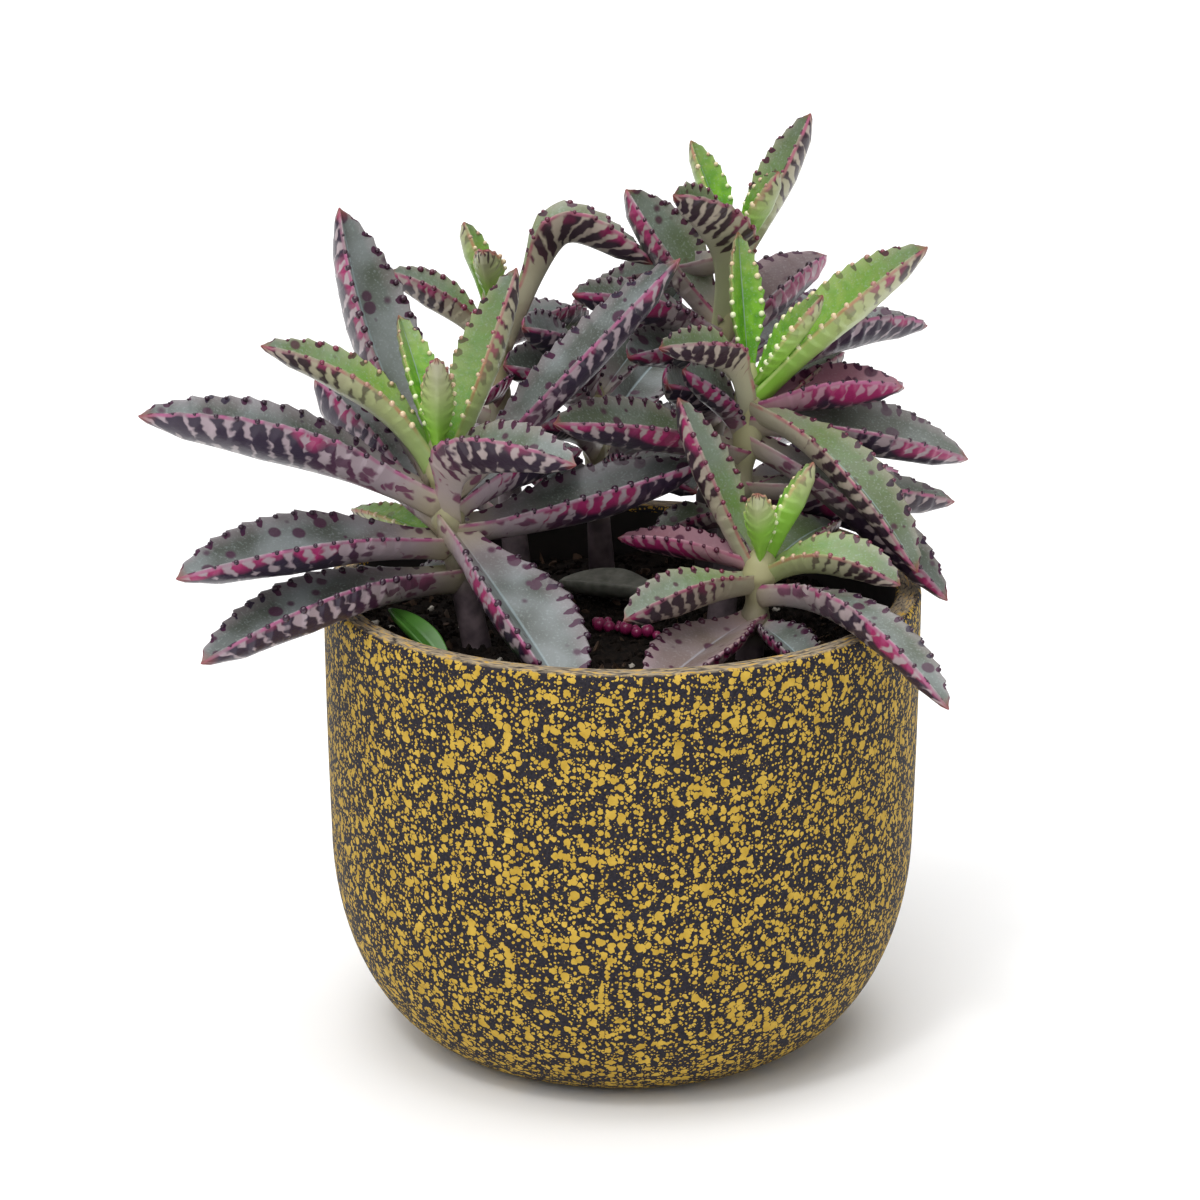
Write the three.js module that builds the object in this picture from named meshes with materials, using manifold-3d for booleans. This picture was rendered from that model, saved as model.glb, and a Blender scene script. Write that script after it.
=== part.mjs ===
// A pink butterflies kalanchoe in a round-bottomed pot: six leafy shoots, a seedling and a shed leaf
// in potting mix. Millimetres, +Z up, the origin on the pot's axis at the face it stands on.
import * as THREE from "three";
import { mergeVertices } from "three/addons/utils/BufferGeometryUtils.js";
import Module from "manifold-3d";

const wasm = await Module();
wasm.setup();

// Pot: a straight rim that rounds in to a small flat foot
const POT_HEIGHT = 95;
const RIM_RADIUS = 60;
const SHOULDER_HEIGHT = 44;
const SHOULDER_RADIUS = 59.2;
const FOOT_RADIUS = 32;
const WALL = 5.2;
const LIP_ROUND = 1.6;
const FLOOR_THICKNESS = 6;
const INNER_FOOT_RADIUS = 28;
const POT_SIDES = 44;

// Potting mix
const SOIL_HEIGHT = 84;
const SOIL_SIDES = 24;
const SOIL_RINGS = [48, 37, 26, 15, 5];
const GAP = 0.3;

// Stems: they thin from the soil to the crown, where a small bud closes them
const STEM_RADIUS = 3.3;
const CROWN_RADIUS = 2.4;
const BUD_RADIUS = 1.1;
const BUD_HEIGHT = 2;
const STEM_SIDES = 8;

// Leaves: boat-shaped and keeled, blunt at the root, with a toothed margin along the blade
const BLADE_START = 0.14;
const BLADE_SHARE = 0.83;
const TOOTH_PITCH = 10;
const FEWEST_TEETH = 3;
const MOST_TEETH = 6;
const TOOTH_DEPTH = 0.9;
const NOTCH_DEPTH = 0.25;
const MARGIN_THICKNESS = 0.9;
const LEAST_HALF_WIDTH = 0.5;
const SHORT_STALK = 0.06;

// A shoot's axis is a list of points. Each row of leaves gives the height of its root on the stem, the
// tip's x, y and z, the width, how far the middle arches up, the turn about its length, the fold of its
// two halves and, for a leaf with a knee, the bend point, how hard it pulls and the stalk's share.
const SHOOTS = {
  shoot_left: {
    colour: 0x7d8a7c,
    axis: [[-27, -8, 70], [-29, -9, 84], [-32, -11, 100], [-35, -13, 114], [-36.5, -14, 127]],
    leaves: [
      [115.5, -93, -30, 137.75, 19.5, 2.5, -2, 34],
      [107, -86, -38, 107.5, 21, 2, -3, 27],
      [100, -81, -46, 93, 19.5, 3, 5, 27],
      [111, -9.5, -51.5, 86, 24, 1, -18, 28],
      [121, -56, 12, 169, 21, -6, 22, 32],
      [122, -70, -20, 149, 12.5, 4.5, -11, 32],
      [125, -44, -4, 151, 8, 1, 0, 35],
      [124, -36, -22, 147, 7, 1, 0, 30],
      [122, -21, -6, 161, 13, -1, 3, 36],
      [112, -9, -34, 129, 15, 0, 5, 42, { bend: [-35, -22, 131], pull: 0.82, stalk: 0.16 }],
      [110, 16, -4, 121, 18, -2, 3, 28],
      [112, -61, 4, 136, 17, -2, 24, 30],
      [117, 11, -6, 163, 15, -1, 7, 30],
      [113, -8, 2, 122, 14, 2, -4, 30],
      [98, -47, 6, 89, 12, 3, -4, 28],
      [104, -55, 12, 106.5, 8, 2, -4, 30],
    ],
  },
  shoot_right: {
    colour: 0x8a8f84,
    axis: [[20, 6, 70], [20, 7, 84], [22, 8, 105], [25, 8, 122], [25.5, 8, 136]],
    leaves: [
      [131, 60, 4, 163, 16, 1, 18, 30],
      [134, 23, 12, 164, 8, 0, 0, 30],
      [133, 39, -4, 155, 8, 0, 45, 34],
      [126, 7, -14, 147, 11, 0, -16, 42, { bend: [25, 2, 143], pull: 0.86, stalk: 0.3 }],
      [130, 58, -20, 103, 14.5, 5, -7, 28],
      [127, 70, 12, 117.3, 19.5, 1, 8, 26],
      [129, 56, 8, 133.5, 14.5, 1, 3, 32],
      [132, 62, 24, 142, 14, 5, -2, 32],
      [113, 67.6, 14, 107.8, 16, 0, 0, 28],
      [123, 65, -8, 93.5, 15.5, 2.8, -1, 28],
      [124, 12, 0, 139, 11, 1, -28, 32],
      [119.5, -13.5, -19, 133.2, 16, 1, -14, 32],
      [122, 45, 22, 137, 12, 1, -8, 30],
      [112, 58, 44, 104, 15, 3, 4, 28],
      [112, 53, 16, 101, 14, 2, 4, 28],
      [107, 6, 3, 103, 11, 1, 0, 30],
    ],
  },
  shoot_back: {
    colour: 0x76857a,
    axis: [[18, 30, 70], [18, 31, 84], [18, 31, 110], [20, 29, 135], [22.5, 27, 158]],
    leaves: [
      [154, 37.8, 32, 184, 11.8, -1, 5, 30],
      [157, 14, 34, 178, 8, 0, 0, 35],
      [156, 31, 18, 175, 8, 0, 45, 35],
      [139, 10, 6, 173, 14, 0, -28, 48, { bend: [23, 24, 162], pull: 0.86, stalk: 0.22 }],
      [142, 1, 34, 168, 18, -1, -8, 28],
      [139, -10, 6, 153, 13, 1, -12, 34],
      [134, 42, 40, 153, 20.5, 2, -4, 24],
      [130, 52, 66, 138, 14, 2, 4, 28],
      [124, 24, 84, 132, 16, 3, 0, 35],
      [116, 60, 58, 120, 16, 4, 0, 35],
      [106, 40, 76, 106, 15, 4, 0, 35],
      [156, -10.5, 52, 139.6, 12, 0, -20, 38],
      [130, 1, 10, 139, 14, 3, -9, 30],
      [153, 23, 44, 160, 7, 0, 0, 35],
      [120, 9, 4, 135, 14, 1, -30, 32],
    ],
  },
  shoot_back_left: {
    colour: 0x808a72,
    axis: [[-20, 24, 70], [-21, 25, 84], [-23, 27, 105], [-25, 28, 125], [-26.5, 28, 148]],
    leaves: [
      [146, -32, 30, 162, 7, 0, 0, 35],
      [145, -28, 18, 159, 7, 1, 0, 35],
      [138, -47, 24, 153.2, 11, 1, -11, 34],
      [136, 6.5, 30, 153.4, 12, 0, 0, 44, { bend: [-13.4, 33, 163.2], pull: 1.1, stalk: 0.3 }],
      [126, -29, 10, 130, 11, 2, 0, 35],
      [122, -62, 50, 124, 14, 1, 6, 28],
      [116, -44, 80, 112, 16, 3, 0, 35],
      [110, -62, 36, 108, 15, 3, -4, 28],
      [100, -46, 66, 92, 15, 5, 0, 35],
      [138, -7, 48, 138.2, 12, 1, 0, 38],
      [112, -8, 4, 108, 14, 3, 0, 35],
    ],
  },
  shoot_front: {
    colour: 0x87957e,
    axis: [[24, -17, 70], [25, -17, 84], [26.5, -17, 96], [27.3, -17.5, 106]],
    leaves: [
      [102, 11, -12.5, 136.5, 12, -1, -8, 34],
      [105, 37, -18, 125, 7, 0, 0, 35],
      [105, 26, -26, 121, 7, 0, 0, 35],
      [102, 54, -28, 103, 12.5, 4, 8, 34],
      [101, 0, -38, 99, 13, 1, 1, 38],
      [98.2, 61.8, -56, 87, 13, 7, -17, 26],
      [93, 5, -50, 88, 17, 1, 1, 22],
      [92, 37, -37, 88, 10, 1, 0, 30],
      [101, 43, 8, 105, 13, 2, 0, 28],
      [103, 16, -4, 116, 9, 2, 0, 35],
      [104, -1, -8, 106.6, 9, 1, -1, 32],
    ],
  },
  shoot_rear: {
    colour: 0x7b8576,
    axis: [[-4, 38, 70], [-4, 38, 84], [-5, 38, 100], [-6, 37, 126]],
    leaves: [
      [124, -20, 18, 143.2, 14, 3, -25, 32],
      [120, -24, 21, 134.5, 15, 2, -25, 32],
      [120, -9, 74, 132, 13, 0, 0, 38],
      [111.5, 12, 86, 122, 16, 3, 30, 35],
      [122, 13, 48, 145, 11, 0, 30, 35],
      [122, -10, 29, 139, 8, 0, 0, 35],
      [107, 22, 84, 100, 16, 4, 30, 35],
      [112, -17, 0, 127, 14, 3, 0, 35],
      [106, 15, 6, 112, 14, 3, 0, 35],
    ],
  },
};

// A seedling near the front rim, with plain leaves of the same make
const SEEDLING = {
  colour: 0x5f9a34,
  axis: [[-32, -38, 76], [-32, -38, 84], [-32.5, -37, 88]],
  leaves: [
    [86, -46, -21, 96, 6, 2, 0, 20],
    [86, -24, -33, 88, 5, 1, 0, 20],
    [87, -31, -42, 92, 4.5, 0, 0, 20],
  ],
};
const SEEDLING_STEM = 0.5;

// A withered leaf that lies on the soil
const SHED_LEAF = { root: [9, 16, 87.6], row: [0, -13, 24, 87.8, 12, 0.8, 0, 14] };
const SHED_COLOUR = 0x8c8478;

// The pot's outer and inner radius at the angle `turn` of the rounded foot, 0 at the bottom
function footPoint(footRadius, shoulderRadius, bottom, turn) {
  const reach = shoulderRadius - footRadius;
  const rise = SHOULDER_HEIGHT - bottom;
  return new THREE.Vector2(footRadius + reach * Math.sin(turn), SHOULDER_HEIGHT - rise * Math.cos(turn));
}

function outerRadius(z) {
  const down = (POT_HEIGHT - z) / (POT_HEIGHT - SHOULDER_HEIGHT);
  return RIM_RADIUS - (RIM_RADIUS - SHOULDER_RADIUS) * down * down;
}

function steps(count) {
  return Array.from({ length: count + 1 }, (_, i) => i / count);
}

function closedGeometry(geometry) {
  geometry.deleteAttribute("normal");
  geometry.deleteAttribute("uv");
  return mergeVertices(geometry, 1e-4);
}

function toSolid(geometry) {
  const merged = closedGeometry(geometry);
  return new wasm.Manifold(
    new wasm.Mesh({
      numProp: 3,
      vertProperties: merged.attributes.position.array,
      triVerts: new Uint32Array(merged.index.array),
    }),
  );
}

function toGeometry(solid) {
  const mesh = solid.getMesh();
  const geometry = new THREE.BufferGeometry();
  geometry.setAttribute("position", new THREE.BufferAttribute(mesh.vertProperties, 3));
  geometry.setIndex(new THREE.BufferAttribute(mesh.triVerts, 1));
  geometry.computeVertexNormals();
  return geometry;
}

// A closed skin through rings of equal size, each a list of points that turns left as seen from the end
function loft(rings) {
  const size = rings[0].length;
  const points = rings.flat().flatMap((point) => [point.x, point.y, point.z]);
  const faces = [];
  for (let ring = 0; ring + 1 < rings.length; ring += 1) {
    for (let i = 0; i < size; i += 1) {
      const here = ring * size + i;
      const next = ring * size + ((i + 1) % size);
      faces.push(here, next, next + size, here, next + size, here + size);
    }
  }
  const last = (rings.length - 1) * size;
  for (let i = 1; i + 1 < size; i += 1) {
    faces.push(0, i + 1, i, last, last + i, last + i + 1);
  }
  const geometry = new THREE.BufferGeometry();
  geometry.setAttribute("position", new THREE.Float32BufferAttribute(points, 3));
  geometry.setIndex(faces);
  return geometry;
}

function circle(centre, radius, sides) {
  return Array.from({ length: sides }, (_, i) => {
    const turn = (2 * Math.PI * i) / sides;
    return new THREE.Vector3(centre.x + radius * Math.cos(turn), centre.y + radius * Math.sin(turn), centre.z);
  });
}

// Pot: one lathe from the middle of the foot, over the lip and back to the middle of the floor
function makePot() {
  const innerShoulder = SHOULDER_RADIUS - WALL;
  const profile = [new THREE.Vector2(0, 0)];
  for (const part of steps(5)) {
    profile.push(footPoint(FOOT_RADIUS, SHOULDER_RADIUS, 0, (part * Math.PI) / 2));
  }
  const mid = (SHOULDER_HEIGHT + POT_HEIGHT) / 2;
  profile.push(new THREE.Vector2(outerRadius(mid), mid));
  for (const part of steps(2)) {
    const turn = (part * Math.PI) / 2;
    const x = RIM_RADIUS - LIP_ROUND * (1 - Math.cos(turn));
    profile.push(new THREE.Vector2(x, POT_HEIGHT - LIP_ROUND * (1 - Math.sin(turn))));
  }
  profile.push(new THREE.Vector2(RIM_RADIUS - WALL + LIP_ROUND, POT_HEIGHT));
  profile.push(new THREE.Vector2(RIM_RADIUS - WALL, POT_HEIGHT - LIP_ROUND));
  for (const part of steps(3)) {
    const turn = ((1 - part) * Math.PI) / 2;
    profile.push(footPoint(INNER_FOOT_RADIUS, innerShoulder, FLOOR_THICKNESS, turn));
  }
  profile.push(new THREE.Vector2(0, FLOOR_THICKNESS));
  return new THREE.LatheGeometry(profile, POT_SIDES).rotateX(Math.PI / 2);
}

function soilTop(x, y) {
  const heap = 0.8 * Math.sin(x / 8 + 1) * Math.cos(y / 9);
  const crumb = 0.5 * Math.sin(x / 3.7) * Math.sin(y / 4.1 + 0.7);
  return SOIL_HEIGHT + heap + crumb;
}

// Soil: it fills the pot with a hair's gap, and the stems stand in plain holes
function makeSoil(holes) {
  const rings = [];
  for (const part of steps(3)) {
    const wall = footPoint(INNER_FOOT_RADIUS, SHOULDER_RADIUS - WALL, FLOOR_THICKNESS, (part * Math.PI) / 2);
    const lift = GAP * (1 - part);
    rings.push(circle(new THREE.Vector3(0, 0, wall.y + lift), wall.x - 2 * GAP, SOIL_SIDES));
  }
  rings.push(circle(new THREE.Vector3(0, 0, SOIL_HEIGHT - 1), SHOULDER_RADIUS - WALL - 2 * GAP, SOIL_SIDES));
  for (const radius of SOIL_RINGS) {
    const ring = circle(new THREE.Vector3(), radius, SOIL_SIDES);
    ring.forEach((point) => point.setZ(soilTop(point.x, point.y)));
    rings.push(ring);
  }
  return holes.reduce((soil, hole) => soil.subtract(hole), toSolid(loft(rings)));
}

// Stem: rings along the axis, wider by `spare` where it is the hole that the stem stands in
function makeStem(axis, share, spare) {
  const rings = axis.map(([x, y, z], i) => {
    const radius = THREE.MathUtils.lerp(STEM_RADIUS, CROWN_RADIUS, i / (axis.length - 1));
    const centre = new THREE.Vector3(x, y, i === 0 ? z - spare : z);
    return circle(centre, radius * share + spare, STEM_SIDES);
  });
  const [x, y, z] = axis[axis.length - 1];
  rings.push(circle(new THREE.Vector3(x, y, z + BUD_HEIGHT * share), BUD_RADIUS * share, STEM_SIDES));
  return toSolid(loft(rings));
}

function pointOnAxis(axis, height) {
  const above = Math.max(1, axis.findIndex((point) => point[2] >= height));
  const low = new THREE.Vector3(...axis[above - 1]);
  const high = new THREE.Vector3(...axis[above]);
  return low.lerp(high, (height - low.z) / (high.z - low.z));
}

// Half the width and the depth of the keel, at a share `s` of the leaf's length
function halfWidth(width, s, stalk) {
  const grow = THREE.MathUtils.smoothstep(s, stalk, stalk + (stalk > SHORT_STALK ? 0.28 : 0.46));
  const fall = THREE.MathUtils.clamp((s - 0.52) / 0.48, 0, 1);
  return (width / 2) * (0.36 + 0.64 * grow) * (1 - fall ** 2.1) ** 0.85;
}

function keelDepth(width, s) {
  const stations = [[0, 3.6], [0.1, 3.3], [0.3, 3.3], [0.6, 3.9], [0.85, 3.1], [1, 0.9]];
  const next = Math.max(1, stations.findIndex(([at]) => at >= s));
  const [low, high] = [stations[next - 1], stations[next]];
  const depth = THREE.MathUtils.mapLinear(s, low[0], high[0], low[1], high[1]);
  return depth * Math.min(1.15, 0.4 + width / 24);
}

// The line down the middle of the upper face
function midrib(root, row) {
  const [, x, y, z, , arch, , , knee] = row;
  const tip = new THREE.Vector3(x, y, z);
  const along = tip.clone().sub(root);
  const side = new THREE.Vector3(along.y, -along.x, 0).normalize();
  const lift = side.clone().cross(along).normalize();
  const bend = knee
    ? new THREE.Vector3(...knee.bend)
    : root.clone().addScaledVector(along, 0.45).addScaledVector(lift, 2 * arch);
  const pull = knee ? knee.pull : 2 / 3;
  const first = root.clone().lerp(bend, pull);
  const second = tip.clone().lerp(bend, pull);
  return { curve: new THREE.CubicBezierCurve3(root, first, second, tip), side };
}

// Leaf: six-sided rings, with every second one pushed out as a tooth
function makeLeaf(root, row, toothed) {
  const [, , , , width, , turn, fold, knee] = row;
  const stalk = knee ? knee.stalk : SHORT_STALK;
  const { curve, side } = midrib(root, row);
  const length = curve.getLength();
  const teeth = THREE.MathUtils.clamp(Math.round(length / TOOTH_PITCH), FEWEST_TEETH, MOST_TEETH);
  const blade = steps(toothed ? 2 * teeth : teeth).map((part) => BLADE_START + BLADE_SHARE * part);
  const stations = [0, ...blade, 1];
  const roll = THREE.MathUtils.degToRad(turn);
  const slope = THREE.MathUtils.degToRad(fold);
  const rings = stations.map((s, i) => {
    const middle = curve.getPointAt(s);
    const along = curve.getTangentAt(s);
    const across = side.clone().applyAxisAngle(along, roll);
    const face = across.clone().cross(along).normalize();
    const plain = halfWidth(width, s, stalk);
    const marked = toothed && i > 1 && i < stations.length - 1 && s > stalk + 0.05;
    const tooth = i % 2 === 0 ? TOOTH_DEPTH * Math.min(1, (2.8 * plain) / width) : -NOTCH_DEPTH;
    const half = Math.max(LEAST_HALF_WIDTH, plain + (marked ? tooth : 0));
    const keel = keelDepth(width, s);
    const edge = Math.min(MARGIN_THICKNESS, 0.6 * keel);
    const at = (out, rise) => middle.clone().addScaledVector(across, out).addScaledVector(face, rise);
    const out = half * Math.cos(slope);
    const rise = half * Math.sin(slope);
    return [at(0, 0), at(out, rise), at(out, rise - edge), at(0, -keel), at(-out, rise - edge), at(-out, rise)];
  });
  return toSolid(loft(rings));
}

function makeShoot({ axis, leaves }, share, toothed) {
  return leaves.reduce(
    (shoot, row) => shoot.add(makeLeaf(pointOnAxis(axis, row[0]), row, toothed)),
    makeStem(axis, share, 0),
  );
}

function addPiece(group, name, geometry, color, roughness) {
  const material = new THREE.MeshStandardMaterial({ color, roughness, metalness: 0, flatShading: true });
  const mesh = new THREE.Mesh(geometry, material);
  mesh.name = name;
  group.add(mesh);
}

const plant = new THREE.Group();
const holes = Object.values(SHOOTS).map(({ axis }) => makeStem(axis, 1, GAP));
holes.push(makeStem(SEEDLING.axis, SEEDLING_STEM, GAP));

addPiece(plant, "pot", closedGeometry(makePot()), 0x454039, 0.55);
addPiece(plant, "soil", toGeometry(makeSoil(holes)), 0x1f1a16, 0.95);
for (const [name, shoot] of Object.entries(SHOOTS)) {
  addPiece(plant, name, toGeometry(makeShoot(shoot, 1, true)), shoot.colour, 0.45);
}
addPiece(plant, "seedling", toGeometry(makeShoot(SEEDLING, SEEDLING_STEM, false)), SEEDLING.colour, 0.4);
const shedRoot = new THREE.Vector3(...SHED_LEAF.root);
addPiece(plant, "shed_leaf", toGeometry(makeLeaf(shedRoot, SHED_LEAF.row, false)), SHED_COLOUR, 0.9);

export default plant;
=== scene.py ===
import math

import bpy
import numpy as np
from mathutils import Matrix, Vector, noise


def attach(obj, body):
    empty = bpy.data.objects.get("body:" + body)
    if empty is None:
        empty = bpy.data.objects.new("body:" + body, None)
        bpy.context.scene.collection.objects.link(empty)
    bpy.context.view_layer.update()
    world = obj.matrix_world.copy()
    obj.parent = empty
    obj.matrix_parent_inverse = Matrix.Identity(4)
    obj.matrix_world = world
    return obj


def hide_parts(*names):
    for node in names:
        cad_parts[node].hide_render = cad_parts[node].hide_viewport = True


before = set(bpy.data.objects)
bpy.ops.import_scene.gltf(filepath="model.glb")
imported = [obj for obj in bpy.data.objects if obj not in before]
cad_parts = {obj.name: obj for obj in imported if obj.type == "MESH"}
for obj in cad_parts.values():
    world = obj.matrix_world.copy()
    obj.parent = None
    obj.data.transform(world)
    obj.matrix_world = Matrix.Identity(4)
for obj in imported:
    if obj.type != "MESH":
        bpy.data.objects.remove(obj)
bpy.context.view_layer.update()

# Pot
# A slip-cast ceramic bowl with a straight rim, a round bottom and a small flat foot. Its charcoal
# body is spattered with mustard glaze. It stands on its foot and holds the soil.
MM = 0.001
POT_HEIGHT = 95
RIM_RADIUS = 60
SHOULDER_HEIGHT = 44
SHOULDER_RADIUS = 59.2
FOOT_RADIUS = 32
WALL = 5.2
LIP_ROUND = 1.6
FLOOR_THICKNESS = 6
INNER_FOOT_RADIUS = 28
AXIS_RADIUS = 0.01
POT_TURNS = 160


def linear(hex_colour):
    """An sRGB hex colour as the linear RGBA that a socket takes."""
    shares = [int(hex_colour[i:i + 2], 16) / 255 for i in (1, 3, 5)]
    return [c / 12.92 if c <= 0.04045 else ((c + 0.055) / 1.055) ** 2.4 for c in shares] + [1.0]


def add_node(tree, kind, settings=None, inputs=None):
    """Adds a node. An input is named, or numbered; it takes a value, a node, or a node and its output."""
    node = tree.nodes.new(kind)
    for name, value in (settings or {}).items():
        setattr(node, name, value)
    for key, value in (inputs or {}).items():
        named = [socket for socket in node.inputs if socket.enabled and socket.name == key]
        socket = named[0] if named else node.inputs[key]
        is_pair = isinstance(value, tuple) and hasattr(value[0], "outputs")
        source, output = value if is_pair else (value, None)
        if hasattr(source, "outputs"):
            ready = [out for out in source.outputs if out.enabled and output in (None, out.name)]
            tree.links.new(ready[0], socket)
        else:
            socket.default_value = source
    return node


def set_stops(ramp, stops):
    """Gives a new colour ramp, which has two stops, its own positions and hex colours."""
    elements = ramp.color_ramp.elements
    for number, (position, colour) in enumerate(stops):
        stop = elements[number] if number < 2 else elements.new(position)
        stop.position = position
        stop.color = linear(colour)


def new_material(name, roughness, **finish):
    """A material with its nodes, its own shader and the piece's Object coordinates."""
    material = bpy.data.materials.new(name)
    material.use_nodes = True
    tree = material.node_tree
    shader = tree.nodes["Principled BSDF"]
    shader.inputs["Roughness"].default_value = roughness
    for socket, value in finish.items():
        shader.inputs[socket.replace("_", " ")].default_value = value
    place = add_node(tree, "ShaderNodeTexCoord")
    return material, tree, shader, (place, "Object")


def two_tone(name, roughness, grain, detail, dark, light):
    """A material whose colour wanders between two tones, in grains of that many millimetres."""
    material, tree, shader, place = new_material(name, roughness)
    wander = add_node(tree, "ShaderNodeTexNoise", {}, {
        "Vector": place, "Scale": 1 / (grain * MM), "Detail": detail})
    tone = add_node(tree, "ShaderNodeMix", {"data_type": "RGBA"}, {
        "Factor": wander, "A": linear(dark), "B": linear(light)})
    tree.links.new(tone.outputs[2], shader.inputs["Base Color"])
    return material


def new_piece(name, points, faces, *materials):
    """A smooth mesh piece from points in millimetres."""
    mesh = bpy.data.meshes.new(name)
    mesh.from_pydata(np.asarray(points) * MM, [], faces)
    mesh.polygons.foreach_set("use_smooth", [True] * len(mesh.polygons))
    for material in materials:
        mesh.materials.append(material)
    mesh.update()
    piece = bpy.data.objects.new(name, mesh)
    bpy.context.collection.objects.link(piece)
    return piece


def grid_faces(rows, columns):
    """Quads between the closed rings of a grid of points."""
    faces = []
    for row in range(rows - 1):
        for column in range(columns):
            here = row * columns + column
            side = row * columns + (column + 1) % columns
            faces.append((here, side, side + columns, here + columns))
    return faces


def foot_curve(foot_radius, shoulder_radius, bottom, steps):
    """The round bottom, from the edge of the foot out and up to the shoulder."""
    curve = []
    for turn in np.linspace(0, math.pi / 2, steps):
        radius = foot_radius + (shoulder_radius - foot_radius) * math.sin(turn)
        curve.append((radius, SHOULDER_HEIGHT - (SHOULDER_HEIGHT - bottom) * math.cos(turn)))
    return curve


def pot_profile():
    """Radius and height up the outside and over the lip, and then down the inner wall to its floor."""
    profile = [(AXIS_RADIUS, 0), (FOOT_RADIUS / 2, 0)]
    profile += foot_curve(FOOT_RADIUS, SHOULDER_RADIUS, 0, 22)
    for down in np.linspace(0.85, 0.1, 6):
        radius = RIM_RADIUS - (RIM_RADIUS - SHOULDER_RADIUS) * down ** 2
        profile.append((radius, POT_HEIGHT - down * (POT_HEIGHT - SHOULDER_HEIGHT)))
    quarter = np.linspace(0, math.pi / 2, 6)
    for turn in quarter:
        radius = RIM_RADIUS - LIP_ROUND * (1 - math.cos(turn))
        profile.append((radius, POT_HEIGHT - LIP_ROUND * (1 - math.sin(turn))))
    for turn in quarter:
        radius = RIM_RADIUS - WALL + LIP_ROUND * (1 - math.sin(turn))
        profile.append((radius, POT_HEIGHT - LIP_ROUND * (1 - math.cos(turn))))
    inner = foot_curve(INNER_FOOT_RADIUS, SHOULDER_RADIUS - WALL, FLOOR_THICKNESS, 14)
    return profile, inner[::-1] + [(AXIS_RADIUS, FLOOR_THICKNESS)]


def spin(profile, turns):
    """The points and faces of a profile of radius and height, turned about the upright axis."""
    points = []
    for radius, height in profile:
        for turn in np.linspace(0, 2 * math.pi, turns, endpoint=False):
            points.append((radius * math.cos(turn), radius * math.sin(turn), height))
    return points, grid_faces(len(profile), turns)


# Spattered ceramic: a satin charcoal body with chips and dots of mustard glaze. The chips are 1 to 3 mm
# across, the dots 0.3 to 1 mm; each chip row has its cell in mm, the least chance and the reach.
STIR_GRAIN = 0.9
STIR_REACH = 0.6
GLAZE_CHIPS = [(1.8, 0.45, 0.62), (1.3, 0.35, 0.6), (0.9, 0.25, 0.56), (0.6, 0.15, 0.52)]
glaze, tree, shader, place = new_material("spattered ceramic", 0.6, Specular_IOR_Level=0.07)
stir = add_node(tree, "ShaderNodeTexNoise", {}, {
    "Vector": place, "Scale": 1 / (STIR_GRAIN * MM), "Detail": 1})
pull = add_node(tree, "ShaderNodeVectorMath", {"operation": "MULTIPLY_ADD"}, {
    0: (stir, "Color"), 1: [STIR_REACH * MM] * 3, 2: place})
mustard_mask = None
for cell, least, reach in GLAZE_CHIPS:
    cells = add_node(tree, "ShaderNodeTexVoronoi", {}, {"Vector": pull, "Scale": 1 / (cell * MM)})
    chance = add_node(tree, "ShaderNodeSeparateColor", {}, {"Color": (cells, "Color")})
    radius = add_node(tree, "ShaderNodeMapRange", {}, {
        "Value": chance, "From Min": least, "From Max": 1.0, "To Min": -0.1, "To Max": reach})
    inside = add_node(tree, "ShaderNodeMath", {"operation": "SUBTRACT"}, {0: radius, 1: cells})
    chip = add_node(tree, "ShaderNodeMapRange", {}, {"Value": inside, "From Min": -0.02, "From Max": 0.02})
    if mustard_mask:
        chip = add_node(tree, "ShaderNodeMath", {"operation": "MAXIMUM"}, {0: chip, 1: mustard_mask})
    mustard_mask = chip

# The lip is rubbed to grey and tan, in streaks that run round it
LIP_RUBBED_FROM = 94.5
LIP_RUBBED_WHOLLY = 94.9
LIP_STREAK_TURN = 0.05
LIP_STREAK_WIDTH = 0.6
LIP_STOPS = [(0.3, "#37322f"), (0.45, "#7d7264"), (0.58, "#a8987c"), (0.68, "#c39b45")]
xyz = add_node(tree, "ShaderNodeSeparateXYZ", {}, {"Vector": place})
lip_mask = add_node(tree, "ShaderNodeMapRange", {}, {
    "Value": (xyz, "Z"), "From Min": LIP_RUBBED_FROM * MM, "From Max": LIP_RUBBED_WHOLLY * MM})
lip_turn = add_node(tree, "ShaderNodeMath", {"operation": "ARCTAN2"}, {0: (xyz, "Y"), 1: (xyz, "X")})
lip_flat = add_node(tree, "ShaderNodeVectorMath", {"operation": "MULTIPLY"}, {0: place, 1: (1, 1, 0)})
lip_out = add_node(tree, "ShaderNodeVectorMath", {"operation": "LENGTH"}, {0: lip_flat})
lip_place = add_node(tree, "ShaderNodeCombineXYZ", {}, {"X": lip_turn, "Y": (lip_out, "Value")})
lip_run = add_node(tree, "ShaderNodeVectorMath", {"operation": "MULTIPLY"}, {
    0: lip_place, 1: (1 / LIP_STREAK_TURN, 1 / (LIP_STREAK_WIDTH * MM), 0)})
lip_streak = add_node(tree, "ShaderNodeTexNoise", {"noise_dimensions": "2D"}, {
    "Vector": lip_run, "Scale": 1.0, "Detail": 3, "Distortion": 0.6})
lip_colour = add_node(tree, "ShaderNodeValToRGB", {}, {"Fac": lip_streak})
set_stops(lip_colour, LIP_STOPS)

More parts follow.
